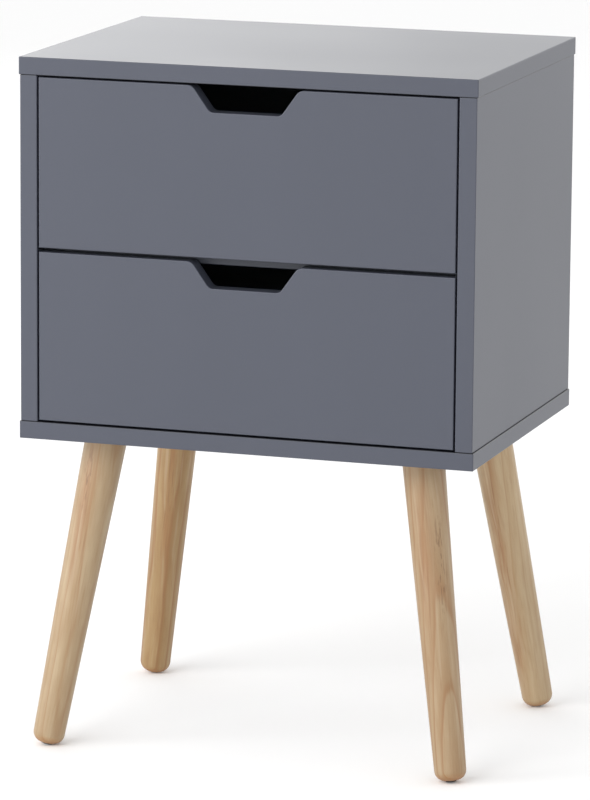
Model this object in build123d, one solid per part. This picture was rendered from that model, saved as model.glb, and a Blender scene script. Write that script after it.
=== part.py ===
"""Two-drawer nightstand on four splayed wooden legs.

A lacquered board case holds two inset drawers with finger cut-outs.  Each drawer runs on a pair of
bottom-mounted roller runners, and each leg screws into an angled steel plate under the case.
The frame is in millimetres: +Z up, the front faces -Y, the origin on the floor under the centre.
"""

from build123d import *
from math import cos, radians, sin, sqrt
import os

os.makedirs("parts", exist_ok=True)

# ---------------------------------------------------------------- driving dimensions
# Case
case_width = 400.0            # top and bottom panels, left to right
case_depth = 300.0            # top and bottom panels, front to back
case_height = 325.0           # underside of the bottom panel to the top surface
floor_clearance = 270.0       # floor to the underside of the bottom panel
board = 15.0                  # case boards and drawer fronts
panel_overhang = 1.0          # top and bottom panels past the side panels
front_setback = 0.4           # front edges of the side panels behind those of top and bottom
edge_round = 0.8              # broken edges of the lacquered boards

# Back panel, a thin sheet let into grooves
sheet_thickness = 3.0
groove_depth = 6.0
groove_play = 0.2             # each side of a sheet in its groove
groove_bottom_play = 0.6      # edge of a sheet to the bottom of its groove
back_inset = 10.0             # rear edge of the case to the back panel

# Drawer fronts
bottom_gap = 1.6              # bottom panel to the lower front
middle_gap = 3.6              # lower front to the upper front
top_gap = 1.6                 # upper front to the top panel
side_gap = 1.6                # front to each side panel
cutout_depth = 22.0
cutout_top_width = 93.4       # between the sharp corners of the outline, at the top edge
cutout_bottom_width = 61.8    # between the sharp corners of the outline, at its floor
cutout_rim_radius = 8.0
cutout_floor_radius = 7.0

# Drawer boxes
box_board = 12.0
box_back_play = 21.6          # rear of a drawer box to the back panel
box_drop = 1.8                # floor of the cut-out to the top of the box
box_sheet_rise = 8.0          # lower edge of a drawer side to the drawer bottom
box_groove_depth = 5.0

# Divider rail behind the joint of the two fronts
rail_depth = 60.0
rail_gap = 1.5                # back of the fronts to the rail and to the runners
rail_rise = 1.3               # middle of that joint to the middle of the rail
rail_clearance = 1.8          # rail to the upper runners

# Roller runners
runner_space = 12.5           # side panel to drawer side
runner_back_play = 20.1       # rear of a cabinet member to the back panel
runner_end_play = 1.0         # back of a front to the drawer member
steel = 1.2                   # sheet of the runner members
bend_radius = 1.4             # centre line of the runner bends
lip_height = 4.5
top_flange = 2.4              # reach of a cabinet member's top flange past the line of its lip
roller_radius = 9.0
roller_edge = 1.0             # rounding of a roller's tread
roller_rim = 2.0              # width of the raised rim and of the hub on a roller's faces
roller_dish = 0.5             # depth of the faces between them
roller_side_play = 0.7        # cabinet member's lip to the rollers
roller_collar = 1.7           # cabinet member's web to the rollers
roller_overhang = 1.5         # rear roller past the end of the drawer member
roller_play = 0.3             # rolling clearance between a roller and its track
track_play = 0.8              # running flange to the top flange above it
member_play = 0.5             # cabinet member to drawer member, sideways
axle_radius = 2.5
axle_play = 0.05              # radial running clearance of a roller on its axle
axle_head_radius = 4.0
axle_head = 1.0
axle_head_bevel = 0.5
rear_axle_head = 0.7
axle_inset = 12.0             # front end of the cabinet member to its roller axle
insertion_gap = 30.0          # open top at the front, where a drawer's rear roller drops in
stop_play = 0.8               # rear roller to the stop when the drawer is shut
travel_play = 19.0            # front roller to the rear one when the drawer is fully open
cabinet_screw_inset = 35.0    # ends of a cabinet member to its outer screws
drawer_screw_inset = 44.0     # ends of a drawer member to its outer screws

# Legs
leg_tilt = 12.0               # degrees from the vertical, towards the case's corner
leg_top_radius = 18.0
leg_foot_radius = 13.4
leg_foot_round = 9.0
leg_top_round = 1.0
leg_inset_side = 59.5         # side edge of the case to the leg axis, at the underside
leg_inset_front = 54.5        # front or rear edge of the case to the leg axis, at the underside
glide_thickness = 0.9
glide_radius = leg_foot_radius - leg_foot_round   # it covers the flat end of the foot
glide_edge_round = 0.3
glide_nail_radius = 0.9
glide_nail_length = 14.0

# Leg plates
plate_size = 60.0
plate_thickness = 2.0
plate_corner = 8.0
plate_leg_play = 0.6          # plate to the highest point of the leg's tilted top
plate_boss_inset = 2.0        # rim of the leg's top to the boss that it bears on
plate_bush_radius = 7.0
plate_screw_spacing = 44.0
hanger_radius = 4.0
hanger_in_leg = 32.0
hanger_proud = 4.5            # end of the hanger bolt above the underside of the case
hanger_pitch = 2.0
hanger_groove = 0.5
hanger_relief = 2.5           # room around the bolt's end in the bottom panel

# Fasteners: radii and lengths
fit = 0.1                     # radial clearance of a fastener in its hole
end_fit = 0.5                 # spare depth past the end of a fastener
over = 1.0                    # how far a cutter runs past the face that it enters
screw_rim = 0.3               # straight rim of a flat screw's head
screw_recess = 0.6            # reach of the driver's cross, as a share of the head's radius
cam_recess = 0.45             # the same for a cam lock
recess_width = 0.5            # width of the cross, as a share of its reach
recess_depth = 0.7            # depth of the cross, as a share of its reach
runner_screw = dict(head_radius=3.4, shank_radius=1.75, length=12.0)
drawer_screw = dict(head_radius=3.4, shank_radius=1.75, length=9.0)
back_screw = dict(head_radius=3.8, shank_radius=2.0, length=36.0)
case_screw = dict(head_radius=4.8, shank_radius=2.5, length=48.0)
plate_screw_radius = 2.0
plate_screw_fit = 0.3         # radial clearance of those screws in the plate
plate_screw_head_radius = 4.0
plate_screw_head = 2.4
plate_screw_round = 1.2
plate_screw_length = 12.0
case_cam = dict(radius=7.4, depth=board / 2 + 4.7, shank_radius=2.5, head_radius=3.2,
                reach=24.0, thread=11.0)
drawer_cam = dict(radius=5.9, depth=box_board / 2 + 3.8, shank_radius=2.0, head_radius=2.5,
                  reach=20.0, thread=11.0)
cam_thread = 0.5              # thread of a cam dowel past its shank
cam_neck = 0.7                # neck of a cam dowel, as a share of its shank's radius
cam_play = 0.3                # dowel's head in its cam
cam_sink = 0.1                # cam below the face of its board
peg_radius = 4.0
peg_length = 30.0
peg_in_panel = 10.0           # part of a wooden dowel in the board that it stands on
peg_chamfer = 1.0

# Places of the fasteners
top_cam_inset = 45.0          # front or rear edge of the case to the cams under the top
top_peg_inset = 90.0          # front or rear edge of the case to the wooden dowels there
rail_peg_offset = 18.0        # middle of the rail to its wooden dowels
case_screw_inset = 40.0       # front or rear edge of the case to the outer bottom screws
drawer_cam_rise = 32.0        # lower edge of a drawer box to its lower cam
back_screw_rise = 30.0        # lower edge of a drawer box to its lower back screw
box_fitting_drop = 22.0       # upper edge of a drawer box to its upper cam and back screw

# ---------------------------------------------------------------- derived levels and planes
half_width = case_width / 2
half_depth = case_depth / 2
floor_top = floor_clearance + board                       # upper face of the bottom panel
ceiling = floor_clearance + case_height - board           # underside of the top panel
side_outer = half_width - panel_overhang
side_inner = side_outer - board
side_middle = side_outer - board / 2
front_face = -half_depth + front_setback
front_back = front_face + board                           # rear face of the drawer fronts
back_front = half_depth - back_inset - sheet_thickness    # front face of the back panel

front_height = (ceiling - floor_top - bottom_gap - middle_gap - top_gap) / 2
front_half_width = side_inner - side_gap
lower_front_bottom = floor_top + bottom_gap
upper_front_bottom = lower_front_bottom + front_height + middle_gap
rail_middle = upper_front_bottom - middle_gap / 2 + rail_rise
rail_front = front_back + rail_gap
rail_centre = rail_front + rail_depth / 2

box_outer = side_inner - runner_space                     # outer face of a drawer side
box_inner = box_outer - box_board
box_rear = back_front - box_back_play

runner_rise = board / 2 + rail_rise + rail_clearance - middle_gap / 2   # front to its runners
box_height = front_height - cutout_depth - box_drop - runner_rise - steel
runner_front = front_back + rail_gap
runner_rear = back_front - runner_back_play
roller_height = steel + roller_play + roller_radius       # axle above the underside of a runner
flange_height = roller_height + roller_radius + roller_play       # underside of the running flange
runner_height = flange_height + steel + track_play + steel
web_face = side_inner - runner_space + steel              # outer face of the drawer member's web
lip_face = web_face + member_play                         # inner face of the cabinet member's lip
roller_inner = lip_face + steel + roller_side_play        # inner end of every roller
roller_outer = side_inner - steel - roller_collar
roller_width = roller_outer - roller_inner
front_axle = runner_front + axle_inset
rear_axle = runner_rear - steel - stop_play - roller_radius
drawer_travel = rear_axle - front_axle - 2 * roller_radius - travel_play
drawer_runner_front = front_back + runner_end_play
drawer_runner_rear = rear_axle + roller_radius - roller_overhang

tilt = radians(leg_tilt)
leg_axis = Vector(sin(tilt) / sqrt(2), sin(tilt) / sqrt(2), -cos(tilt))   # rear right leg, down
plate_drop = (plate_thickness + leg_top_radius * sin(tilt) + plate_leg_play) / cos(tilt)
plate_boss_radius = leg_top_radius - plate_boss_inset
hanger_above_leg = plate_drop + hanger_proud
leg_mount = Vector(half_width - leg_inset_side, half_depth - leg_inset_front, floor_clearance)
glide_low_point = ((glide_thickness - glide_edge_round) * cos(tilt)
                   + (glide_radius - glide_edge_round) * sin(tilt) + glide_edge_round)
leg_end = (floor_clearance - glide_low_point) / cos(tilt)   # along the axis from the underside
leg_length = leg_end - plate_drop

nodes = {}


# ---------------------------------------------------------------- shared shapes
def spread(low, high, inset):
    """Three places between two ends: one at an inset from each end, and the middle."""
    return (low + inset, (low + high) / 2, high - inset)


def block(x, y, z):
    """A box between two limits on each axis."""
    return Pos(sum(x) / 2, sum(y) / 2, sum(z) / 2) * Box(x[1] - x[0], y[1] - y[0], z[1] - z[0])


def rounded_block(x, y, z, radius=edge_round):
    """A board with all its edges broken."""
    shape = block(x, y, z)
    return fillet(shape.edges(), radius)


def turned(*outline):
    """A solid turned about Z from (radius, height) points."""
    return revolve(Plane.XZ * make_face(Polyline(*outline, close=True)), Axis.Z)


def facing(point, outward, shape):
    """Place a shape at a point with its +Z towards outward."""
    return Plane(origin=point, z_dir=outward).location * shape


def rod(radius, low, high):
    """A cylinder about Z between two heights."""
    return Pos(0, 0, (low + high) / 2) * Cylinder(radius, high - low)


def mirrored(shape):
    """The same shape on the left."""
    return mirror(shape, about=Plane.YZ)


def both_sides(shapes):
    """The shapes of the right side and their mirror images."""
    return shapes + [mirrored(shape) for shape in shapes]


def add(name, shape):
    """Keep a node: one piece, or a list of identical separate pieces."""
    nodes[name] = Compound(shape) if isinstance(shape, list) else shape


# ---------------------------------------------------------------- fasteners
def screw_body(head_radius, shank_radius, length, play=0.0):
    """A flat-head screw from z = 0 down, or its hole when play is given."""
    cone = screw_rim + head_radius - shank_radius
    tip = length - 2 * shank_radius
    deep = end_fit if play else 0.0
    return turned((0, 0), (head_radius + play, 0), (head_radius + play, -screw_rim),
                  (shank_radius + play, -cone), (shank_radius + play, -tip - deep),
                  (0, -length - deep))


def cross_recess(size):
    """The driver's cross in a screw head or a cam."""
    half = size * recess_width / 2
    arm = block((-size, size), (-half, half), (-size * recess_depth, over))
    return arm + Rot(0, 0, 90) * arm


def flat_screw(head_radius, shank_radius, length):
    return screw_body(head_radius, shank_radius, length) - cross_recess(head_radius * screw_recess)


def pan_screw():
    """Pan-head screw whose head sits on z = 0."""
    head = rod(plate_screw_head_radius, 0, plate_screw_head)
    head = fillet(head.edges().group_by(Axis.Z)[-1], plate_screw_round)
    tip = -plate_screw_length + 2 * plate_screw_radius
    shank = turned((0, 0), (plate_screw_radius, 0), (plate_screw_radius, tip), (0, -plate_screw_length))
    recess = cross_recess(plate_screw_head_radius * screw_recess)
    return head + shank - Pos(0, 0, plate_screw_head) * recess


def cam_dowel(radius, depth, shank_radius, head_radius, reach, thread):
    """A cam dowel that stands on z = 0: thread below, shank and head above."""
    neck = shank_radius * cam_neck
    return turned((0, -thread), (shank_radius + cam_thread, -thread), (shank_radius + cam_thread, 0),
                  (shank_radius, 0), (shank_radius, reach - 2 * head_radius),
                  (neck, reach - head_radius), (head_radius, reach - head_radius / 2),
                  (head_radius, reach + head_radius / 2), (neck, reach + head_radius),
                  (0, reach + head_radius))


def cam_dowel_thread_hole(radius, depth, shank_radius, head_radius, reach, thread):
    return rod(shank_radius + cam_thread + fit, -thread - end_fit, over)


def cam_dowel_shank_hole(radius, depth, shank_radius, head_radius, reach, thread):
    return rod(head_radius + fit, -over, reach)


def cam_lock(radius, depth, shank_radius, head_radius, reach, thread, dowel_depth):
    """A cam flush with z = 0, its axis on Z, open towards +X where the dowel's head enters."""
    pocket = head_radius + cam_play
    mouth = block((-pocket, radius + over), (-pocket, pocket),
                  (-dowel_depth - pocket, -dowel_depth + pocket))
    return rod(radius, -depth, -cam_sink) - mouth - Pos(0, 0, -cam_sink) * cross_recess(radius * cam_recess)


def cam_pocket(radius, depth, shank_radius, head_radius, reach, thread):
    return rod(radius + fit, -depth - fit, over)


def peg():
    """A wooden dowel that stands on z = 0, part of it in the board below."""
    return chamfer(rod(peg_radius, -peg_in_panel, peg_length - peg_in_panel).edges(), peg_chamfer)


def peg_hole():
    return rod(peg_radius + fit, -peg_in_panel - end_fit, peg_length - peg_in_panel + end_fit)


def cam_facing(point, outward, towards, shape):
    """Place a cam lock with its axis along outward and its mouth towards the dowel's board."""
    return Plane(origin=point, x_dir=towards, z_dir=outward).location * shape


# ---------------------------------------------------------------- places of the case fittings
top_cam_places = [(side_middle, side * (half_depth - top_cam_inset), ceiling) for side in (-1, 1)]
top_peg_places = [(side_middle, side * (half_depth - top_peg_inset), ceiling) for side in (-1, 1)]
rail_cam_place = (side_inner, rail_centre, rail_middle)
rail_peg_places = [(side_inner, rail_centre + side * rail_peg_offset, rail_middle) for side in (-1, 1)]
case_screw_places = [(side_middle, y, floor_clearance)
                     for y in spread(-half_depth, half_depth, case_screw_inset)]
runner_levels = (lower_front_bottom + runner_rise, upper_front_bottom + runner_rise)
cabinet_screw_places = [(side_inner - steel, y, level + runner_height / 2) for level in runner_levels
                        for y in spread(runner_front, runner_rear, cabinet_screw_inset)]
down = (0, 0, -1)
up = (0, 0, 1)
right = (1, 0, 0)
left = (-1, 0, 0)

top_cam_dowels = [facing(p, down, cam_dowel(**case_cam)) for p in top_cam_places]
rail_cam_dowel = facing(rail_cam_place, left, cam_dowel(**case_cam))
top_cam_locks = [cam_facing((side_inner, y, z - case_cam["reach"]), left, up,
                            cam_lock(**case_cam, dowel_depth=board / 2)) for x, y, z in top_cam_places]
rail_lock_place = (side_inner - case_cam["reach"], rail_centre, rail_middle - board / 2)
rail_cam_lock = cam_facing(rail_lock_place, down, right, cam_lock(**case_cam, dowel_depth=board / 2))


# ---------------------------------------------------------------- case boards
def back_groove():
    """The groove for the back panel, as one frame-shaped cutter for all four boards."""
    y = (back_front - groove_play, back_front + sheet_thickness + groove_play)
    return block((-side_inner - groove_depth, side_inner + groove_depth), y,
                 (floor_top - groove_depth, ceiling + groove_depth))


def top_and_bottom_panels():
    x = (-half_width, half_width)
    y = (-half_depth, half_depth)
    top = rounded_block(x, y, (ceiling, ceiling + board)) - back_groove()
    bottom = rounded_block(x, y, (floor_clearance, floor_top)) - back_groove()
    holes = [facing(p, down, cam_dowel_thread_hole(**case_cam)) for p in top_cam_places]
    holes += [facing(p, down, peg_hole()) for p in top_peg_places]
    top = top - both_sides(holes)
    holes = [facing(p, down, screw_body(**case_screw, play=fit)) for p in case_screw_places]
    bottom = bottom - both_sides(holes) - at_legs(leg_plate_drillings())
    add("top_panel", top)
    add("bottom_panel", bottom)


def side_panels():
    panel = rounded_block((side_inner, side_outer), (front_face, half_depth), (floor_top, ceiling))
    holes = [facing(p, down, cam_dowel_shank_hole(**case_cam)) for p in top_cam_places]
    holes += [cam_facing((side_inner, y, z - case_cam["reach"]), left, up, cam_pocket(**case_cam))
              for x, y, z in top_cam_places]
    holes += [facing(p, down, peg_hole()) for p in top_peg_places]
    holes += [facing(p, left, peg_hole()) for p in rail_peg_places]
    holes += [facing(rail_cam_place, left, cam_dowel_thread_hole(**case_cam))]
    holes += [facing(p, down, screw_body(**case_screw, play=fit)) for p in case_screw_places]
    holes += [facing(p, left, screw_body(**runner_screw, play=fit)) for p in cabinet_screw_places]
    panel = panel - back_groove() - holes
    add("right_side_panel", panel)
    add("left_side_panel", mirrored(panel))


def back_panel():
    reach = groove_depth - groove_bottom_play
    add("back_panel", block((-side_inner - reach, side_inner + reach),
                            (back_front, back_front + sheet_thickness),
                            (floor_top - reach, ceiling + reach)))


def divider_rail():
    rail = rounded_block((-side_inner, side_inner), (rail_front, rail_front + rail_depth),
                         (rail_middle - board / 2, rail_middle + board / 2))
    holes = [facing(p, left, peg_hole()) for p in rail_peg_places]
    holes += [facing(rail_cam_place, left, cam_dowel_shank_hole(**case_cam))]
    holes += [cam_facing(rail_lock_place, down, right, cam_pocket(**case_cam))]
    add("divider_rail", rail - both_sides(holes))


def case_fittings():
    pegs = [facing(p, down, peg()) for p in top_peg_places]
    pegs += [facing(p, left, peg()) for p in rail_peg_places]
    add("case_cam_dowels", both_sides(top_cam_dowels + [rail_cam_dowel]))
    add("case_cam_locks", both_sides(top_cam_locks + [rail_cam_lock]))
    add("case_wood_dowels", both_sides(pegs))
    add("bottom_panel_screws", both_sides([facing(p, down, flat_screw(**case_screw))
                                           for p in case_screw_places]))


# ---------------------------------------------------------------- roller runners
def bent_strip(points, y):
    """Sheet steel bent along (x, z) centre-line points and running from y[0] to y[1]."""
    path = FilletPolyline(*points, radius=bend_radius)
    section = trace(path, line_width=steel)
    return Pos(0, y[1], 0) * extrude(Plane.XZ * section, amount=y[1] - y[0])


def cabinet_member(level):
    """The C-shaped member on the right side panel, with its stop at the rear."""
    lip = lip_face + steel / 2
    web = side_inner - steel / 2
    low = level + steel / 2
    high = level + runner_height - steel / 2
    member = bent_strip([(lip, level + lip_height), (lip, low), (web, low), (web, high),
                         (lip + top_flange, high)], (runner_front, runner_rear))
    opening = block((lip_face, side_inner - steel - bend_radius),
                    (runner_front - over, runner_front + insertion_gap),
                    (level + runner_height - 2 * steel, level + runner_height + over))
    stop = block((lip_face + top_flange, side_inner - steel), (runner_rear - steel, runner_rear),
                 (level + steel, level + roller_height))
    holes = [facing(p, left, screw_body(**runner_screw, play=fit)) for p in cabinet_screw_places]
    holes += [facing((side_inner, front_axle, level + roller_height), left,
                     rod(axle_radius + axle_play, -over, steel + over))]
    return member - opening + stop - holes


def drawer_member(level):
    """The member under a drawer's right side: foot, web and running flange."""
    web = web_face - steel / 2
    member = bent_strip([(box_inner + steel / 2, level + steel / 2), (web, level + steel / 2),
                         (web, level + flange_height + steel / 2),
                         (roller_outer + steel / 2, level + flange_height + steel / 2)],
                        (drawer_runner_front, drawer_runner_rear))
    holes = [facing(p, right, screw_body(**drawer_screw, play=fit)) for p in drawer_screw_points(level)]
    holes += [facing((web_face, rear_axle, level + roller_height), right,
                     rod(axle_radius + axle_play, -steel - over, over))]
    return member - holes


def drawer_screw_points(level):
    """On the drawer member's web, below the groove of the drawer bottom."""
    height = level + steel + box_sheet_rise / 2
    return [(web_face, y, height)
            for y in spread(drawer_runner_front, drawer_runner_rear, drawer_screw_inset)]


def roller(y, level):
    """A nylon roller on its axle, with a shallow hub and a rounded tread."""
    bore = axle_radius + axle_play
    hub = axle_radius + roller_rim
    rim = roller_radius - roller_rim
    edge = roller_radius - roller_edge
    near = [(bore, 0), (hub, 0), (hub, roller_dish), (rim, roller_dish), (rim, 0), (edge, 0),
            (roller_radius, roller_edge)]
    far = [(r, roller_width - height) for r, height in reversed(near)]
    return facing((roller_inner, y, level + roller_height), right, turned(*near, *far))


def front_roller_axle(level):
    """Riveted into the cabinet member, with its head on the drawer's side of the roller."""
    collar = side_inner - steel - roller_outer - fit
    head = side_inner - roller_inner + fit
    pin = turned((0, 0), (axle_radius, 0), (axle_radius, steel), (axle_head_radius, steel),
                 (axle_head_radius, steel + collar), (axle_radius, steel + collar), (axle_radius, head),
                 (axle_head_radius, head), (axle_head_radius - axle_head_bevel, head + axle_head),
                 (0, head + axle_head))
    return facing((side_inner, front_axle, level + roller_height), left, pin)


def rear_roller_axle(level):
    """Riveted into the drawer member, with its head on the cabinet's side of the roller."""
    collar = roller_inner - web_face - fit
    head = roller_outer - web_face + fit
    pin = turned((0, -steel), (axle_radius, -steel), (axle_radius, 0), (axle_head_radius, 0),
                 (axle_head_radius, collar), (axle_radius, collar), (axle_radius, head),
                 (axle_head_radius, head), (axle_head_radius - axle_head_bevel, head + rear_axle_head),
                 (0, head + rear_axle_head))
    return facing((web_face, rear_axle, level + roller_height), right, pin)


def cabinet_runners():
    axles = []
    for drawer, level in zip(("lower", "upper"), runner_levels):
        member = cabinet_member(level)
        wheel = roller(front_axle, level)
        add(f"{drawer}_right_cabinet_runner", member)
        add(f"{drawer}_left_cabinet_runner", mirrored(member))
        add(f"{drawer}_right_front_roller", wheel)
        add(f"{drawer}_left_front_roller", mirrored(wheel))
        axles.append(front_roller_axle(level))
    add("front_roller_axles", both_sides(axles))
    add("cabinet_runner_screws", both_sides([facing(p, left, flat_screw(**runner_screw))
                                             for p in cabinet_screw_places]))


# ---------------------------------------------------------------- drawers
def cutout_outline(top):
    """The finger cut-out in (x, z), open above the front's top edge."""
    rim = cutout_top_width / 2
    floor = cutout_bottom_width / 2
    end = rim + 2 * cutout_rim_radius
    bottom = top - cutout_depth
    above = top + cutout_depth
    edge = FilletPolyline((-end, top), (-rim, top), (-floor, bottom),
                          (floor, bottom), (rim, top), (end, top),
                          radius=[cutout_rim_radius, cutout_floor_radius,
                                  cutout_floor_radius, cutout_rim_radius])
    return make_face(edge + Polyline((end, top), (end, above), (-end, above), (-end, top)))


def drawer_front(bottom):
    top = bottom + front_height
    panel = block((-front_half_width, front_half_width), (front_face, front_back), (bottom, top))
    cutter = extrude(Plane.XZ * cutout_outline(top), amount=board + 2 * over)
    cutter = Pos(0, front_back + over, 0) * cutter
    panel = panel - cutter
    across = panel.edges().filter_by(lambda edge: abs(edge.tangent_at(0.5).Y) < 0.5)
    return fillet(across, edge_round)


def drawer_cam_places(level):
    return [(box_outer - box_board / 2, front_back, level + steel + z)
            for z in (drawer_cam_rise, box_height - box_fitting_drop)]


def back_screw_places(level):
    return [(box_outer, box_rear - box_board / 2, level + steel + z)
            for z in (back_screw_rise, box_height - box_fitting_drop)]


def drawer(name, bottom, level):
    """One drawer: front, box, runner members, axles, rear rollers and fittings."""
    low = level + steel
    forward = (0, -1, 0)
    rearward = (0, 1, 0)
    sheet = (low + box_sheet_rise, low + box_sheet_rise + sheet_thickness)
    groove = block((-box_inner - box_groove_depth, box_inner + box_groove_depth),
                   (front_back - box_groove_depth, box_rear - box_board + box_groove_depth),
                   (sheet[0] - groove_play, sheet[1] + groove_play))

    dowel_holes = [facing(p, rearward, cam_dowel_thread_hole(**drawer_cam))
                   for p in drawer_cam_places(level)]
    add(f"{name}_drawer_front", drawer_front(bottom) - groove - both_sides(dowel_holes))

    side = rounded_block((box_inner, box_outer), (front_back, box_rear), (low, low + box_height))
    locks = [(box_inner, y + drawer_cam["reach"], z) for x, y, z in drawer_cam_places(level)]
    holes = [facing(p, rearward, cam_dowel_shank_hole(**drawer_cam)) for p in drawer_cam_places(level)]
    holes += [cam_facing(p, left, forward, cam_pocket(**drawer_cam)) for p in locks]
    holes += [facing(p, right, screw_body(**drawer_screw, play=fit)) for p in drawer_screw_points(level)]
    holes += [facing(p, right, screw_body(**back_screw, play=fit)) for p in back_screw_places(level)]
    side = side - groove - holes
    add(f"{name}_drawer_right_side", side)
    add(f"{name}_drawer_left_side", mirrored(side))

    back = rounded_block((-box_inner, box_inner), (box_rear - box_board, box_rear), (low, low + box_height))
    holes = [facing(p, right, screw_body(**back_screw, play=fit)) for p in back_screw_places(level)]
    add(f"{name}_drawer_back", back - groove - both_sides(holes))

    reach = box_groove_depth - groove_bottom_play
    add(f"{name}_drawer_bottom", block((-box_inner - reach, box_inner + reach),
                                       (front_back - reach, box_rear - box_board + reach), sheet))

    member = drawer_member(level)
    add(f"{name}_right_drawer_runner", member)
    add(f"{name}_left_drawer_runner", mirrored(member))
    wheel = roller(rear_axle, level)
    add(f"{name}_right_rear_roller", wheel)
    add(f"{name}_left_rear_roller", mirrored(wheel))
    add(f"{name}_rear_roller_axles", both_sides([rear_roller_axle(level)]))
    add(f"{name}_drawer_runner_screws", both_sides([facing(p, right, flat_screw(**drawer_screw))
                                                    for p in drawer_screw_points(level)]))
    add(f"{name}_drawer_back_screws", both_sides([facing(p, right, flat_screw(**back_screw))
                                                  for p in back_screw_places(level)]))
    add(f"{name}_drawer_cam_dowels", both_sides([facing(p, rearward, cam_dowel(**drawer_cam))
                                                 for p in drawer_cam_places(level)]))
    add(f"{name}_drawer_cam_locks", both_sides([
        cam_facing(p, left, forward, cam_lock(**drawer_cam, dowel_depth=box_board / 2)) for p in locks]))


# ---------------------------------------------------------------- legs
leg_corners = {"rear_right": [], "rear_left": [Plane.YZ], "front_right": [Plane.XZ],
               "front_left": [Plane.YZ, Plane.XZ]}


def at_leg(shape, corner):
    """A shape of the rear right leg, moved to another corner by mirroring."""
    for plane in leg_corners[corner]:
        shape = mirror(shape, about=plane)
    return shape


def at_legs(shapes):
    return [at_leg(shape, corner) for corner in leg_corners for shape in shapes]


def along_leg(distance, shape):
    """Place a shape at a distance down the leg's axis, its +Z up along the axis."""
    return facing(leg_mount + leg_axis * distance, leg_axis * -1, shape)


def plate_screw_points():
    half = plate_screw_spacing / 2
    return [leg_mount + Vector(x, y, -plate_thickness) for x in (-half, half) for y in (-half, half)]


def leg_plate():
    """A pressed plate whose hollow boss squares the leg's top face to the leg."""
    base = extrude(Pos(leg_mount.X, leg_mount.Y, floor_clearance)
                   * RectangleRounded(plate_size, plate_size, plate_corner), amount=-plate_thickness)
    below = block((0, case_width), (0, case_depth), (0, floor_clearance))
    boss = along_leg(plate_drop, rod(plate_boss_radius, 0, plate_size / 2)) & below
    hollow = along_leg(plate_drop, rod(plate_boss_radius - plate_thickness, plate_thickness, plate_size))
    bush = along_leg(plate_drop, rod(plate_bush_radius, 0, plate_size / 2)) & below
    bore = along_leg(plate_drop, rod(hanger_radius + fit, -over, plate_size))
    holes = [facing(p, down, rod(plate_screw_radius + plate_screw_fit, -plate_thickness - over, over))
             for p in plate_screw_points()]
    return (base + boss - hollow + bush) - bore - holes


def leg_plate_drillings():
    """Relief for the hanger bolt's end and pilot holes for the plate's screws."""
    relief = rod(hanger_radius + hanger_relief, -over, hanger_proud + hanger_relief)
    relief = Pos(leg_mount.X, leg_mount.Y, floor_clearance) * relief
    pilots = [facing(p, down, rod(plate_screw_radius + fit, -plate_screw_length - end_fit, 0))
              for p in plate_screw_points()]
    return [relief] + pilots


def leg():
    """A tapered turned leg, square to its axis at both ends, bored for its bolt and glide."""
    shape = Pos(0, 0, -leg_length / 2) * Cone(leg_foot_radius, leg_top_radius, leg_length)
    shape = fillet(shape.edges().group_by(Axis.Z)[0], leg_foot_round)
    shape = fillet(shape.edges().group_by(Axis.Z)[-1], leg_top_round)
    shape = shape - rod(hanger_radius + fit, -hanger_in_leg - end_fit, over)
    nail_top = -leg_length + glide_nail_length + end_fit
    shape = shape - rod(glide_nail_radius + fit, -leg_length - over, nail_top)
    return along_leg(plate_drop, shape)


def hanger_bolt():
    """Wood thread in the leg and machine thread in the plate's bush."""
    step = hanger_pitch / 2
    corners = 2 * int(hanger_above_leg / hanger_pitch) - 2
    thread = [(hanger_radius - i % 2 * hanger_groove, hanger_above_leg - step - i * step)
              for i in range(corners)]
    tip = -hanger_in_leg + 2 * hanger_radius
    shape = turned((0, hanger_above_leg), (hanger_radius - step, hanger_above_leg), *thread,
                   (hanger_radius, 0), (hanger_radius, tip), (0, -hanger_in_leg))
    return along_leg(plate_drop, shape)


def glide():
    """A thin round foot glide with the nail that holds it in the leg's end."""
    disc = rod(glide_radius, -glide_thickness, 0)
    disc = fillet(disc.edges().group_by(Axis.Z)[0], glide_edge_round)
    tip = glide_nail_length - 2 * glide_nail_radius
    nail = turned((0, 0), (glide_nail_radius, 0), (glide_nail_radius, tip), (0, glide_nail_length))
    return along_leg(leg_end, disc + nail)


def legs():
    shapes = {"leg": leg(), "leg_plate": leg_plate()}
    for corner in leg_corners:
        for name, shape in shapes.items():
            add(f"{corner}_{name}", at_leg(shape, corner))
    add("leg_hanger_bolts", at_legs([hanger_bolt()]))
    add("foot_glides", at_legs([glide()]))
    add("leg_plate_screws", at_legs([facing(p, down, pan_screw()) for p in plate_screw_points()]))


# ---------------------------------------------------------------- assembly
top_and_bottom_panels()
side_panels()
back_panel()
divider_rail()
case_fittings()
cabinet_runners()
drawer("lower", lower_front_bottom, runner_levels[0])
drawer("upper", upper_front_bottom, runner_levels[1])
legs()

for name, shape in nodes.items():
    export_step(shape, f"parts/{name}.step")
print(f"{len(nodes)} nodes, drawers open by {drawer_travel:.1f} mm")
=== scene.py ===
import bpy
from math import cos, radians, sin
from mathutils import Matrix, Quaternion, Vector


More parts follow.
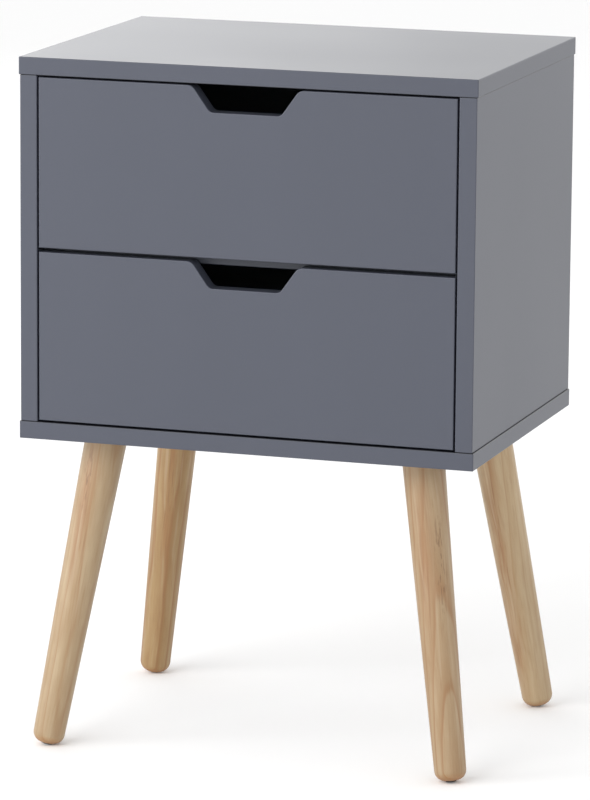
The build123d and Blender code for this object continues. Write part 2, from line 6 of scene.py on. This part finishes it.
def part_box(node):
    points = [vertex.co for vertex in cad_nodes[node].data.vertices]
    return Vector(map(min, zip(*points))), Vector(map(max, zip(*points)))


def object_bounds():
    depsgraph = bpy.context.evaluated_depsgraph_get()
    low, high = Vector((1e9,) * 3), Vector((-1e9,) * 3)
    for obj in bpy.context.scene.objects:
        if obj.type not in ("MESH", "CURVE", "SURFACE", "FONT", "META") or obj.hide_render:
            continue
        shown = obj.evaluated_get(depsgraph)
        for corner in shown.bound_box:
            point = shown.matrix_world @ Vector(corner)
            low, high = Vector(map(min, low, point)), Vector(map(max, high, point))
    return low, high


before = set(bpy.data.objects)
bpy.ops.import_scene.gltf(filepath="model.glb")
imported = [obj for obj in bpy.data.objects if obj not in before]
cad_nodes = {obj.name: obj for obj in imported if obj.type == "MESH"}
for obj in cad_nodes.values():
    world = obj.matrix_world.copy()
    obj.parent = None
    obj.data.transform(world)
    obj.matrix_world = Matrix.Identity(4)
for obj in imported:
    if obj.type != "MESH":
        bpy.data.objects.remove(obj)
cad_low, cad_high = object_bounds()
centre = (Vector(cad_low) + Vector(cad_high)) / 2


# ---- Camera ------------------------------------------------------------------------------------
# A long lens on a stand well back, a little to the right of the nightstand's front and looking
# slightly down on it, so that the front, the right side and the top all show.
camera_azimuth = radians(18.2)
camera_elevation = radians(11.2)
camera_roll = radians(0.44)
camera_distance = 4.442
camera_aim = centre + Vector((-0.0036, -0.0012, -0.0089))
towards_camera = Vector((sin(camera_azimuth) * cos(camera_elevation),
                         -cos(camera_azimuth) * cos(camera_elevation),
                         sin(camera_elevation)))
camera_data = bpy.data.cameras.new("camera")
camera_data.lens = 232.0
camera_data.sensor_width = 36.0
camera_data.clip_end = 50.0
camera = bpy.data.objects.new("camera", camera_data)
camera.location = camera_aim + towards_camera * camera_distance
level_look = (-towards_camera).to_track_quat("-Z", "Y")
camera.rotation_mode = "QUATERNION"
camera.rotation_quaternion = level_look @ Quaternion((0, 0, 1), camera_roll)
bpy.context.scene.collection.objects.link(camera)
bpy.context.scene.camera = camera


# ---- Floor and light ---------------------------------------------------------------------------
# A white studio: a seamless pale floor under a surround that is brightest at the horizon and
# dimmer on the right, two large soft lamps in front on the left, and three weak ones behind on
# the left whose reflections make the top brighter towards its left end.
def srgb(red, green, blue):
    """A colour chosen on a 0 to 255 display scale, as Blender's linear values."""
    def linear(value):
        value = value / 255
        return value / 12.92 if value <= 0.04045 else ((value + 0.055) / 1.055) ** 2.4
    return (linear(red), linear(green), linear(blue), 1.0)


def add_node(tree, kind, inputs=None, **settings):
    """A shader node with its settings, and each input set or linked."""
    made = tree.nodes.new("ShaderNode" + kind)
    for key, value in settings.items():
        setattr(made, key, value)
    for key, value in (inputs or {}).items():
        if isinstance(value, bpy.types.NodeSocket):
            tree.links.new(value, made.inputs[key])
        else:
            made.inputs[key].default_value = value
    return made


def maths(tree, operation, first, second=0.0, third=0.0):
    """One Math node's result."""
    return add_node(tree, "Math", {0: first, 1: second, 2: third}, operation=operation).outputs[0]


def ranged(tree, value, low, high, to_low, to_high, curve="LINEAR"):
    """A value remapped from one range to another, and held at its ends."""
    return add_node(tree, "MapRange", {"Value": value, "From Min": low, "From Max": high,
                                       "To Min": to_low, "To Max": to_high},
                    interpolation_type=curve).outputs[0]


def part_of(tree, vector, letter):
    """A vector's X, Y or Z."""
    return add_node(tree, "SeparateXYZ", {0: vector}).outputs[letter]


def new_material(name):
    """An empty node material: itself, its tree and its Principled shader."""
    material = bpy.data.materials.new(name)
    material.use_nodes = True
    return material, material.node_tree, material.node_tree.nodes["Principled BSDF"]


floor_size = 14.0
bpy.ops.object.select_all(action="DESELECT")
bpy.ops.mesh.primitive_plane_add(size=floor_size, location=(0, 0, 0))
floor = bpy.context.object
floor.name = "studio_floor"
floor_material, tree, shader = new_material("studio_floor")
shader.inputs["Base Color"].default_value = srgb(253, 253, 253)
shader.inputs["Roughness"].default_value = 0.9
shader.inputs["Specular IOR Level"].default_value = 0.1
floor.data.materials.append(floor_material)

horizon_strength = 1.77
zenith_strength = 0.71
right_end_share = 0.75
world = bpy.data.worlds.new("studio")
world.use_nodes = True
tree = world.node_tree
direction = add_node(tree, "TexCoord").outputs["Generated"]
by_height = ranged(tree, part_of(tree, direction, "Z"), 0.1, 0.9, horizon_strength,
                   zenith_strength, curve="SMOOTHSTEP")
right_share = ranged(tree, part_of(tree, direction, "X"), 0.3, 1.0, 1.0, right_end_share)
tree.links.new(maths(tree, "MULTIPLY", by_height, right_share),
               tree.nodes["Background"].inputs["Strength"])
tree.nodes["Background"].inputs["Color"].default_value = (1, 1, 1, 1)
bpy.context.scene.world = world


def soft_lamp(name, place, width, height, watts):
    """A rectangular area lamp that faces the middle of the nightstand."""
    lamp = bpy.data.lights.new(name, "AREA")
    lamp.shape = "RECTANGLE"
    lamp.size = width
    lamp.size_y = height
    lamp.energy = watts
    rig = bpy.data.objects.new(name, lamp)
    rig.location = place
    rig.rotation_mode = "QUATERNION"
    rig.rotation_quaternion = (centre - Vector(place)).to_track_quat("-Z", "Y")
    bpy.context.scene.collection.objects.link(rig)


soft_lamp("high_front_lamp", (-0.9, -2.6, 1.9), width=1.6, height=1.2, watts=27.1)
soft_lamp("low_front_lamp", (-2.0, -1.6, 0.9), width=1.2, height=1.2, watts=22.0)
soft_lamp("far_sheen_lamp", (-2.4, 3.4, 1.5), width=2.4, height=1.6, watts=3.8)
soft_lamp("left_sheen_lamp", (-1.6, 1.7, 1.0), width=1.4, height=0.8, watts=1.8)
soft_lamp("rear_sheen_lamp", (-1.2, 1.9, 1.05), width=1.4, height=0.9, watts=1.0)
bpy.context.scene.view_settings.view_transform = "Standard"


# ---- Lacquered boards --------------------------------------------------------------------------
# Fibreboard panels sprayed with a satin blue-grey lacquer: the case's top, bottom and sides and
# both drawer fronts, with the rail behind the fronts painted darker as painted shade for its
# recess. Spraying leaves a faint orange peel and a slight drift of tone, and a thin band of
# painted shade darkens the seams between the boards, where their joint's groove is shaded.
most_noise = (0.3, 0.7)             # nearly all of a noise's values lie between these
# A thin dark band of painted shade along each seam, standing in for the shadow in the joint's
# groove.
seam_shade_width = 0.0005
seam_shade_strength = 0.75
seam_shade_colour = (0.004, 0.004, 0.005, 1)
coat_reflection = 0.44


def new_group(name, inputs):
    """A shader node group that gives a colour, a roughness and a height: it, its input node and
    its output node."""
    group = bpy.data.node_groups.new(name, "ShaderNodeTree")
    for socket, kind, value in inputs:
        made = group.interface.new_socket(name=socket, in_out="INPUT",
                                          socket_type="NodeSocket" + kind)
        if value is not None:
            made.default_value = value
    for socket, kind in (("Colour", "Color"), ("Roughness", "Float"), ("Height", "Float")):
        group.interface.new_socket(name=socket, in_out="OUTPUT", socket_type="NodeSocket" + kind)
    return group, group.nodes.new("NodeGroupInput"), group.nodes.new("NodeGroupOutput")


def give(group, result, colour, roughness, height):
    """Link what a group gives to its output node."""
    group.links.new(colour, result.inputs["Colour"])
    group.links.new(roughness, result.inputs["Roughness"])
    group.links.new(height, result.inputs["Height"])


def vector_maths(tree, operation, first, second, third=(0, 0, 0)):
    """One Vector Math node's vector result."""
    return add_node(tree, "VectorMath", {0: first, 1: second, 2: third},
                    operation=operation).outputs[0]


def scaled(tree, vector, factor):
    """A vector or a colour times one number."""
    return add_node(tree, "VectorMath", {0: vector, 3: factor}, operation="SCALE").outputs[0]


def blended(tree, factor, first, second):
    """Two colours mixed by a factor."""
    return add_node(tree, "Mix", {0: factor, 6: first, 7: second}, data_type="RGBA").outputs[2]


def stretched_noise(tree, vector, cells, detail=2.0, roughness=0.5, output="Fac"):
    """Noise with so many cells in each metre along each axis."""
    return add_node(tree, "TexNoise", {"Vector": vector_maths(tree, "MULTIPLY", vector, cells),
                                       "Scale": 1.0, "Detail": detail,
                                       "Roughness": roughness}).outputs[output]


coat_group, given, result = new_group("sprayed_coat", [
    ("Vector", "Vector", None), ("Colour", "Color", (0.5, 0.5, 0.5, 1)),
    ("Drift", "Float", 0.03), ("Roughness", "Float", 0.35), ("Peel", "Vector", (900, 900, 900))])
drift = stretched_noise(coat_group, given.outputs["Vector"], (9, 9, 3))
shade = maths(coat_group, "MULTIPLY_ADD", ranged(coat_group, drift, *most_noise, -1.0, 1.0),
              given.outputs["Drift"], 1.0)
haze = stretched_noise(coat_group, given.outputs["Vector"], (4, 4, 4), detail=1.0)
hazed = maths(coat_group, "ADD", given.outputs["Roughness"],
              ranged(coat_group, haze, *most_noise, -0.012, 0.012))
peel = stretched_noise(coat_group, given.outputs["Vector"], given.outputs["Peel"], detail=1.0)
give(coat_group, result, scaled(coat_group, given.outputs["Colour"], shade), hazed, peel)


def object_coordinates(tree):
    """The place on the object, in metres, which stays with a piece that moves."""
    return add_node(tree, "TexCoord").outputs["Object"]


def use_group(tree, group, inputs):
    """Place a shader node group in a material."""
    placed = tree.nodes.new("ShaderNodeGroup")
    placed.node_tree = group
    for key, value in inputs.items():
        if isinstance(value, bpy.types.NodeSocket):
            tree.links.new(value, placed.inputs[key])
        else:
            placed.inputs[key].default_value = value
    return placed


def finish_surface(tree, shader, colour, roughness, height, strength, depth):
    """Link colour, roughness and a bump to the shader."""
    bump = add_node(tree, "Bump", {"Height": height, "Strength": strength, "Distance": depth})
    tree.links.new(colour, shader.inputs["Base Color"])
    tree.links.new(roughness, shader.inputs["Roughness"])
    tree.links.new(bump.outputs[0], shader.inputs["Normal"])


def finish_from_group(tree, shader, placed, strength, depth):
    """Link what a placed group gives to the shader."""
    finish_surface(tree, shader, placed.outputs["Colour"], placed.outputs["Roughness"],
                   placed.outputs["Height"], strength, depth)


def finish_nodes(material, names):
    """Give CAD pieces their material."""
    for name in names:
        slots = cad_nodes[name].data.materials
        slots.clear()
        slots.append(material)


def coated(name, colour, drift, roughness, peel_pitch, peel_depth, seams=()):
    """A sprayed or foiled surface, with painted shade darkening it along level seams."""
    material, tree, shader = new_material(name)
    place = object_coordinates(tree)
    coat = use_group(tree, coat_group, {"Vector": place, "Colour": colour, "Drift": drift,
                                        "Roughness": roughness, "Peel": (1 / peel_pitch,) * 3})
    shown = coat.outputs["Colour"]
    # Painted shade: a thin dark band along each seam, where the joint's groove would be shaded.
    for seam in seams:
        above_seam = maths(tree, "SUBTRACT", part_of(tree, place, "Z"), seam)
        in_seam_shade = ranged(tree, maths(tree, "ABSOLUTE", above_seam), seam_shade_width * 0.5,
                         seam_shade_width * 1.5, seam_shade_strength, 0.0)
        shown = blended(tree, in_seam_shade, shown, seam_shade_colour)
    shader.inputs["Specular IOR Level"].default_value = coat_reflection
    finish_surface(tree, shader, shown, coat.outputs["Roughness"], coat.outputs["Height"],
                   0.2, peel_depth)
    return material


side_low, side_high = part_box("right_side_panel")
lacquer = coated("blue_grey_lacquer", (0.0543, 0.0596, 0.0800, 1), drift=0.02, roughness=0.34,
                 peel_pitch=0.0011, peel_depth=0.00006, seams=(side_low.z, side_high.z))
finish_nodes(lacquer, ["top_panel", "bottom_panel", "left_side_panel", "right_side_panel",
                       "lower_drawer_front", "upper_drawer_front"])
# The rail sits in a recess behind the fronts; its lacquer is painted darker as painted shade for
# that recess.
rail_lacquer_painted_shade = coated("rail_painted_shade_lacquer", (0.0265, 0.0305, 0.0435, 1), drift=0.03,
                      roughness=0.42, peel_pitch=0.0011, peel_depth=0.00006)
finish_nodes(rail_lacquer_painted_shade, ["divider_rail"])


# ---- Drawer boxes ------------------------------------------------------------------------------
# The sides and backs of both drawers: thinner fibreboard wrapped in a matt grey foil with a fine
# pebbled emboss, held together by screws and to the fronts by cams.
foil = coated("grey_foil", srgb(74, 77, 84), drift=0.03, roughness=0.55, peel_pitch=0.0007,
              peel_depth=0.00008)
finish_nodes(foil, [f"{drawer}_drawer_{piece}" for drawer in ("lower", "upper")
                    for piece in ("left_side", "right_side", "back")])


# ---- Hardboard sheets --------------------------------------------------------------------------
# The back panel and the drawer bottoms, which sit in grooves: thin hardboard painted grey on its
# smooth face, and bare brown with the screen pattern of the press on the other.
screen_scale = 180.0                # puts the pattern's lines 1.7 mm apart


def hardboard(name, smooth_face, smooth_colour, other_way):
    """Hardboard whose painted face looks along smooth_face, with its screen along X and
    other_way."""
    material, tree, shader = new_material(name)
    place = object_coordinates(tree)
    coat = use_group(tree, coat_group, {"Vector": place, "Colour": smooth_colour, "Drift": 0.03,
                                        "Roughness": 0.5, "Peel": (700, 700, 700)})
    fibres = stretched_noise(tree, place, (900, 900, 900), detail=4.0, roughness=0.7)
    brown = add_node(tree, "ValToRGB", {"Fac": fibres})
    brown.color_ramp.elements[0].position = 0.25
    brown.color_ramp.elements[0].color = srgb(100, 74, 52)
    brown.color_ramp.elements[1].position = 0.75
    brown.color_ramp.elements[1].color = srgb(122, 93, 67)
    normal = add_node(tree, "NewGeometry").outputs["Normal"]
    facing = add_node(tree, "VectorMath", {0: normal, 1: smooth_face},
                      operation="DOT_PRODUCT").outputs["Value"]
    painted = ranged(tree, facing, -0.2, 0.2, 0.0, 1.0)
    across, along = (add_node(tree, "TexWave", {"Vector": place, "Scale": screen_scale},
                              bands_direction=way).outputs["Fac"] for way in ("X", other_way))
    screen = maths(tree, "MULTIPLY", maths(tree, "MULTIPLY", across, along),
                   maths(tree, "SUBTRACT", 1.0, painted))
    colour = blended(tree, painted, brown.outputs[0], coat.outputs["Colour"])
    roughness = ranged(tree, painted, 0.0, 1.0, 0.85, 0.50)
    finish_surface(tree, shader, colour, roughness, screen, 0.6, 0.0006)
    return material


finish_nodes(hardboard("hardboard_back", (0, -1, 0), srgb(80, 82, 88), other_way="Z"),
             ["back_panel"])
finish_nodes(hardboard("hardboard_drawer", (0, 0, 1), srgb(84, 86, 92), other_way="Y"),
             ["lower_drawer_bottom", "upper_drawer_bottom"])


# ---- Runners -----------------------------------------------------------------------------------
# Bent sheet-steel members with a pale baked epoxy coat, screwed on: one on each side panel and one
# under each side of a drawer.
enamel = coated("runner_epoxy", srgb(196, 197, 194), drift=0.02, roughness=0.38,
                peel_pitch=0.0009, peel_depth=0.00010)
finish_nodes(enamel, [f"{drawer}_{side}_{member}_runner" for drawer in ("lower", "upper")
                      for side in ("left", "right") for member in ("cabinet", "drawer")])


# ---- Rollers -----------------------------------------------------------------------------------
# Injection-moulded wheels of natural nylon that turn on riveted axles: slightly translucent, with
# fine circular mould marks on their faces and a scuffed tread.
mark_rate = 9000.0                  # radians in each metre from the axle: marks 0.7 mm apart


def distance(tree, vector):
    """A vector's length."""
    return add_node(tree, "VectorMath", {0: vector}, operation="LENGTH").outputs["Value"]


def nylon(name, axle_place):
    """Nylon with its marks round one axle, which runs along X."""
    material, tree, shader = new_material(name)
    place = object_coordinates(tree)
    from_axle = add_node(tree, "Mapping", {"Vector": place, "Location": -axle_place}).outputs[0]
    radius = distance(tree, vector_maths(tree, "MULTIPLY", from_axle, (0, 1, 1)))
    marks = maths(tree, "SINE", maths(tree, "MULTIPLY", radius, mark_rate))
    cloud = stretched_noise(tree, place, (300, 300, 300), detail=4.0)
    scuffed = ranged(tree, cloud, 0.45, 0.7, 0.0, 0.35)
    colour = blended(tree, scuffed, srgb(222, 219, 208), srgb(192, 188, 178))
    shader.inputs["Subsurface Weight"].default_value = 0.15
    shader.inputs["Subsurface Radius"].default_value = (0.002, 0.002, 0.0016)
    finish_surface(tree, shader, colour, ranged(tree, cloud, *most_noise, 0.36, 0.52), marks,
                   0.15, 0.00005)
    return material


for node in [name for name in cad_nodes if name.endswith("_roller")]:
    low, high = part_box(node)
    finish_nodes(nylon(node + "_nylon", (low + high) / 2), [node])


# ---- Screws, axles and plates ------------------------------------------------------------------
# Steel with bright zinc plating: all the screws, the roller axles, the cam dowels, the legs'
# hanger bolts and the pressed leg plates. The plating is a little cloudy, with fine rubbed lines.
metal_group, given, result = new_group("plated_metal", [
    ("Vector", "Vector", None), ("Bright", "Color", (0.6, 0.6, 0.6, 1)),
    ("Dull", "Color", (0.4, 0.4, 0.4, 1)), ("Roughness", "Float", 0.3),
    ("Grain", "Vector", (400, 400, 400))])
clouds = stretched_noise(metal_group, given.outputs["Vector"], (160, 160, 160), detail=5.0,
                         roughness=0.6)
rubbed = stretched_noise(metal_group, given.outputs["Vector"], given.outputs["Grain"], detail=3.0)
cloudy = blended(metal_group, ranged(metal_group, clouds, 0.38, 0.66, 0.0, 1.0),
                 given.outputs["Bright"], given.outputs["Dull"])
dulled = maths(metal_group, "ADD", given.outputs["Roughness"],
               ranged(metal_group, clouds, *most_noise, -0.05, 0.10))
give(metal_group, result, cloudy,
     maths(metal_group, "ADD", dulled, ranged(metal_group, rubbed, *most_noise, -0.03, 0.03)),
     rubbed)


def plated(name, bright, dull, roughness, grain, depth):
    """A bare or plated metal."""
    material, tree, shader = new_material(name)
    shader.inputs["Metallic"].default_value = 1.0
    metal = use_group(tree, metal_group, {"Vector": object_coordinates(tree), "Bright": bright,
                                          "Dull": dull, "Roughness": roughness, "Grain": grain})
    finish_from_group(tree, shader, metal, 0.3, depth)
    return material


screw_zinc = plated("screw_zinc", srgb(206, 208, 210), srgb(172, 175, 178), roughness=0.26,
                    grain=(900, 900, 120), depth=0.00004)
finish_nodes(screw_zinc, [name for name in cad_nodes
                          if name.endswith(("_screws", "_axles", "_cam_dowels", "_bolts"))])
plate_zinc = plated("plate_zinc", srgb(196, 198, 200), srgb(160, 164, 168), roughness=0.34,
                    grain=(1200, 60, 60), depth=0.00006)
finish_nodes(plate_zinc, [name for name in cad_nodes if name.endswith("_leg_plate")])


# ---- Cam locks ---------------------------------------------------------------------------------
# Die-cast zinc cams in round pockets in the boards, each of which pulls a cam dowel tight. They
# are greyer and rougher than the plated steel, as they come out of the mould.
cast_zinc = plated("cast_zinc", srgb(168, 170, 172), srgb(134, 137, 140), roughness=0.46,
                   grain=(700, 700, 700), depth=0.00012)
finish_nodes(cast_zinc, [name for name in cad_nodes if name.endswith("_cam_locks")])


# ---- Legs --------------------------------------------------------------------------------------
# Four tapered pine legs, turned, clear lacquered and screwed to their plates. Each is cut from its
# own stick, so the growth rings run differently on each: soft bands, an arch where the turning
# cuts through them, a warmer streak, and a few short dark marks.
figure_turn = radians(-18.2)        # turns each stick's figure to the front right
ring_wander = 0.0030
ring_line_colour = srgb(138, 92, 52)
streak_colour = srgb(142, 100, 62)
dark_line_colour = srgb(128, 90, 56)
pale_line_colour = srgb(184, 168, 142)
fibre_colour = srgb(108, 84, 60)
mark_colour = srgb(100, 68, 42)
mark_strength = 0.70
end_grain_colour = srgb(150, 102, 54)
end_grain_strength = 0.80
end_grain_heights = (0.0010, 0.0075)    # above the end of the foot
head_light_levels = (-0.16, -0.02)        # where a head's painted light begins and where it is full
above_leg = (0.0, -0.015, 0.2)      # a place for marks that a leg doesn't have

wood_group, given, result = new_group("turned_wood", [
    ("Vector", "Vector", None), ("Off Pith", "Vector", None), ("Ring Pitch", "Float", 0.004),
    ("Ring Shift", "Float", 0.0), ("Ring Contrast", "Float", 0.5),
    ("Streak", "Vector", (0, 0, 0)), ("Streak Reach", "Vector", (200, 0, 9)),
    ("Marks", "Vector", (0, 0, 0)), ("Marks Reach", "Vector", (150, 0, 25)),
    ("Foot", "Float", -1.0), ("Painted Head Light", "Float", 0.0),
    ("Pale", "Color", (0.5, 0.4, 0.3, 1)), ("Warm", "Color", (0.4, 0.3, 0.2, 1))])
grain = given.outputs["Vector"]


def near(place, reach):
    """1 at a place, falling to 0 around it; reach is one over the distance along each axis."""
    offset = vector_maths(wood_group, "SUBTRACT", grain, place)
    away = distance(wood_group, vector_maths(wood_group, "MULTIPLY", offset, reach))
    squared = maths(wood_group, "POWER", away, 2.0)
    return maths(wood_group, "EXPONENT", maths(wood_group, "MULTIPLY", squared, -1.0))


# Growth rings: each turns from pale to warm and ends in a narrow dark line, and no two are alike.
out_from_pith = distance(wood_group, vector_maths(wood_group, "MULTIPLY",
                                                  given.outputs["Off Pith"], (1, 1, 0)))
wander = ranged(wood_group, stretched_noise(wood_group, grain, (45, 45, 7)), 0.0, 1.0,
                -ring_wander, ring_wander)
shifted = maths(wood_group, "ADD", maths(wood_group, "ADD", out_from_pith, wander),
                given.outputs["Ring Shift"])
turns = maths(wood_group, "DIVIDE", shifted, given.outputs["Ring Pitch"])
in_ring = maths(wood_group, "FRACT", turns)
own_tone = add_node(wood_group, "TexWhiteNoise", {"W": maths(wood_group, "FLOOR", turns)},
                    noise_dimensions="1D").outputs["Value"]
ring_strength = maths(wood_group, "MULTIPLY", ranged(wood_group, own_tone, 0.0, 1.0, 0.45, 1.0),
                      given.outputs["Ring Contrast"])


def ring_part(start, peak, end, strength):
    """A mask that rises to its peak and falls again within each growth ring."""
    ramp = add_node(wood_group, "ValToRGB", {"Fac": in_ring})
    ramp.color_ramp.interpolation = "EASE"
    ramp.color_ramp.elements[0].position = start
    ramp.color_ramp.elements[0].color = (0, 0, 0, 1)
    ramp.color_ramp.elements[1].position = peak
    ramp.color_ramp.elements[1].color = (1, 1, 1, 1)
    ramp.color_ramp.elements.new(end).color = (0, 0, 0, 1)
    return maths(wood_group, "MULTIPLY", ramp.outputs[0],
                 maths(wood_group, "MULTIPLY", ring_strength, strength))


warm_part = ring_part(0.25, 0.84, 0.99, 1.0)
ring_line = ring_part(0.70, 0.86, 0.97, 0.75)
warmed = blended(wood_group, warm_part, given.outputs["Pale"], given.outputs["Warm"])
ringed = blended(wood_group, ring_line, warmed, ring_line_colour)

# Slow drifts of tone, the warm streak, wandering lines, fine fibres and the dark marks.
sway = stretched_noise(wood_group, grain, (14, 14, 11), detail=1.0, output="Color")
swayed = vector_maths(wood_group, "MULTIPLY_ADD", sway, (0.008, 0.008, 0.0), grain)
drifts = stretched_noise(wood_group, swayed, (120, 120, 20), detail=4.0, roughness=0.6)
drifted = blended(wood_group, ranged(wood_group, drifts, 0.36, 0.66, 0.0, 0.55), ringed,
                  given.outputs["Warm"])

in_streak = near(given.outputs["Streak"], given.outputs["Streak Reach"])
streak_edge = stretched_noise(wood_group, swayed, (420, 420, 16), detail=3.0)
streak_mask = maths(wood_group, "MULTIPLY", in_streak,
                    ranged(wood_group, streak_edge, 0.32, 0.62, 0.2, 0.8))
streaked = blended(wood_group, streak_mask, drifted, streak_colour)

dark_lines = stretched_noise(wood_group, swayed, (600, 600, 19), detail=3.0)
line_mask = maths(wood_group, "MULTIPLY", ranged(wood_group, dark_lines, 0.52, 0.70, 0.0, 1.0),
                  ranged(wood_group, in_streak, 0.0, 1.0, 0.22, 0.65))
lined = blended(wood_group, line_mask, streaked, dark_line_colour)
pale_lines = stretched_noise(wood_group, swayed, (260, 260, 7))
combed = blended(wood_group, ranged(wood_group, pale_lines, 0.54, 0.74, 0.0, 0.30), lined,
                 pale_line_colour)
fibres = stretched_noise(wood_group, grain, (2600, 2600, 45))
fibred = blended(wood_group, ranged(wood_group, fibres, *most_noise, 0.0, 0.12), combed,
                 fibre_colour)

dashes = stretched_noise(wood_group, grain, (760, 760, 90))
mark_mask = maths(wood_group, "MULTIPLY",
                  near(given.outputs["Marks"], given.outputs["Marks Reach"]),
                  ranged(wood_group, dashes, 0.53, 0.60, 0.0, 1.0))
marked = blended(wood_group, maths(wood_group, "MULTIPLY", mark_mask, mark_strength), fibred,
                 mark_colour)

# The end of the foot drinks more lacquer and is darker; a leg's head may get painted light,
# which makes up for the shade under the case.
height_up = part_of(wood_group, grain, "Z")
above_foot = maths(wood_group, "SUBTRACT", height_up, given.outputs["Foot"])
ended = blended(wood_group, ranged(wood_group, above_foot, *end_grain_heights,
                                   end_grain_strength, 0.0), marked, end_grain_colour)
# Painted light: the head of a leg is lightened against the shade that the case casts on it.
painted_head_tone = maths(wood_group, "MULTIPLY_ADD",
                  ranged(wood_group, height_up, *head_light_levels, 0.0, 1.0),
                  given.outputs["Painted Head Light"], 1.0)
give(wood_group, result, scaled(wood_group, ended, painted_head_tone),
     ranged(wood_group, fibres, *most_noise, 0.38, 0.50),
     maths(wood_group, "MULTIPLY_ADD", warm_part, -0.5, 0.5))


def pine(name, pith, pith_slope, ring_pitch, ring_shift, ring_contrast, streak, streak_reach,
         marks, marks_reach, pale, warm, painted_head_light=0.0):
    """Pine whose figure follows one leg: X to the right, Y to the back and Z up the leg, with 0 at
    its head."""
    leg = cad_nodes[name + "_leg"]
    plate_low, plate_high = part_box(name + "_leg_plate")
    mount = (plate_low + plate_high) / 2
    mount.z = plate_high.z
    low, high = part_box(name + "_leg")
    axis = (mount - (low + high) / 2).normalized()
    reach = [(mount - vertex.co).dot(axis) for vertex in leg.data.vertices]
    head = mount - axis * min(reach)
    upright = axis.rotation_difference(Vector((0, 0, 1))).to_matrix()
    turn = Matrix.Rotation(figure_turn, 3, "Z") @ upright
    material, tree, shader = new_material(name + "_pine")
    in_leg = add_node(tree, "Mapping", {"Vector": object_coordinates(tree),
                                        "Location": -(turn @ head),
                                        "Rotation": turn.to_euler()}).outputs[0]
    lean = scaled(tree, pith_slope, part_of(tree, in_leg, "Z"))
    off_pith = vector_maths(tree, "SUBTRACT", in_leg, vector_maths(tree, "ADD", lean, pith))
    figure = use_group(tree, wood_group, {
        "Vector": in_leg, "Off Pith": off_pith, "Ring Pitch": ring_pitch,
        "Ring Shift": ring_shift, "Ring Contrast": ring_contrast, "Streak": streak,
        "Streak Reach": streak_reach, "Marks": marks, "Marks Reach": marks_reach,
        "Foot": min(reach) - max(reach), "Painted Head Light": painted_head_light, "Pale": pale, "Warm": warm})
    finish_from_group(tree, shader, figure, 0.25, 0.00010)
    return material


finish_nodes(pine("front_left", pith=(-0.035, 0.050, 0), pith_slope=(0, 0, 0),
                  ring_pitch=0.0050, ring_shift=0.0, ring_contrast=0.45,
                  streak=(-0.0085, -0.015, -0.055), streak_reach=(180, 0, 15),
                  marks=(-0.0100, -0.015, -0.034), marks_reach=(330, 0, 40),
                  pale=srgb(165, 144, 113), warm=srgb(146, 117, 82)), ["front_left_leg"])
finish_nodes(pine("front_right", pith=(-0.0056, 0.0160, 0), pith_slope=(0.0116, -0.0330, 0),
                  ring_pitch=0.0042, ring_shift=0.0025, ring_contrast=0.80,
                  streak=(-0.0050, -0.015, -0.085), streak_reach=(190, 0, 20),
                  marks=(0.0075, -0.015, -0.085), marks_reach=(260, 0, 24),
                  pale=srgb(159, 136, 105), warm=srgb(142, 110, 74)), ["front_right_leg"])
# The rear legs get painted light at their heads, against the shade the case casts on them.
finish_nodes(pine("rear_left", pith=(0.0030, 0.0160, 0), pith_slope=(-0.0105, -0.0330, 0),
                  ring_pitch=0.0042, ring_shift=0.0048, ring_contrast=0.95,
                  streak=(-0.0035, -0.015, -0.080), streak_reach=(260, 0, 7),
                  marks=above_leg, marks_reach=(200, 0, 40),
                  pale=srgb(156, 129, 89), warm=srgb(138, 104, 62), painted_head_light=0.12),
             ["rear_left_leg"])
finish_nodes(pine("rear_right", pith=(0.045, 0.055, 0), pith_slope=(0, 0, 0),
                  ring_pitch=0.0058, ring_shift=0.0, ring_contrast=0.40,
                  streak=(-0.0060, -0.015, -0.110), streak_reach=(200, 0, 6),
                  marks=above_leg, marks_reach=(200, 0, 40),
                  pale=srgb(170, 149, 117), warm=srgb(155, 127, 91), painted_head_light=0.20),
             ["rear_right_leg"])


# ---- Wooden dowels -----------------------------------------------------------------------------
# Beech dowels that locate the boards of the case: bare, pale and finely flecked.
material, tree, shader = new_material("bare_beech")
flecks = stretched_noise(tree, object_coordinates(tree), (900, 900, 900), detail=3.0,
                         roughness=0.7)
colour = blended(tree, ranged(tree, flecks, 0.35, 0.7, 0.0, 0.6), srgb(204, 176, 138),
                 srgb(168, 132, 94))
finish_surface(tree, shader, colour, ranged(tree, flecks, *most_noise, 0.6, 0.75), flecks,
               0.3, 0.0002)
finish_nodes(material, ["case_wood_dowels"])


# ---- Foot glides -------------------------------------------------------------------------------
# Thin round glides moulded in dark plastic, each nailed into the end of its leg, so that the wood
# keeps clear of the floor.
glide = coated("glide_plastic", srgb(58, 50, 44), drift=0.04, roughness=0.6, peel_pitch=0.0006,
               peel_depth=0.00012)
finish_nodes(glide, ["foot_glides"])
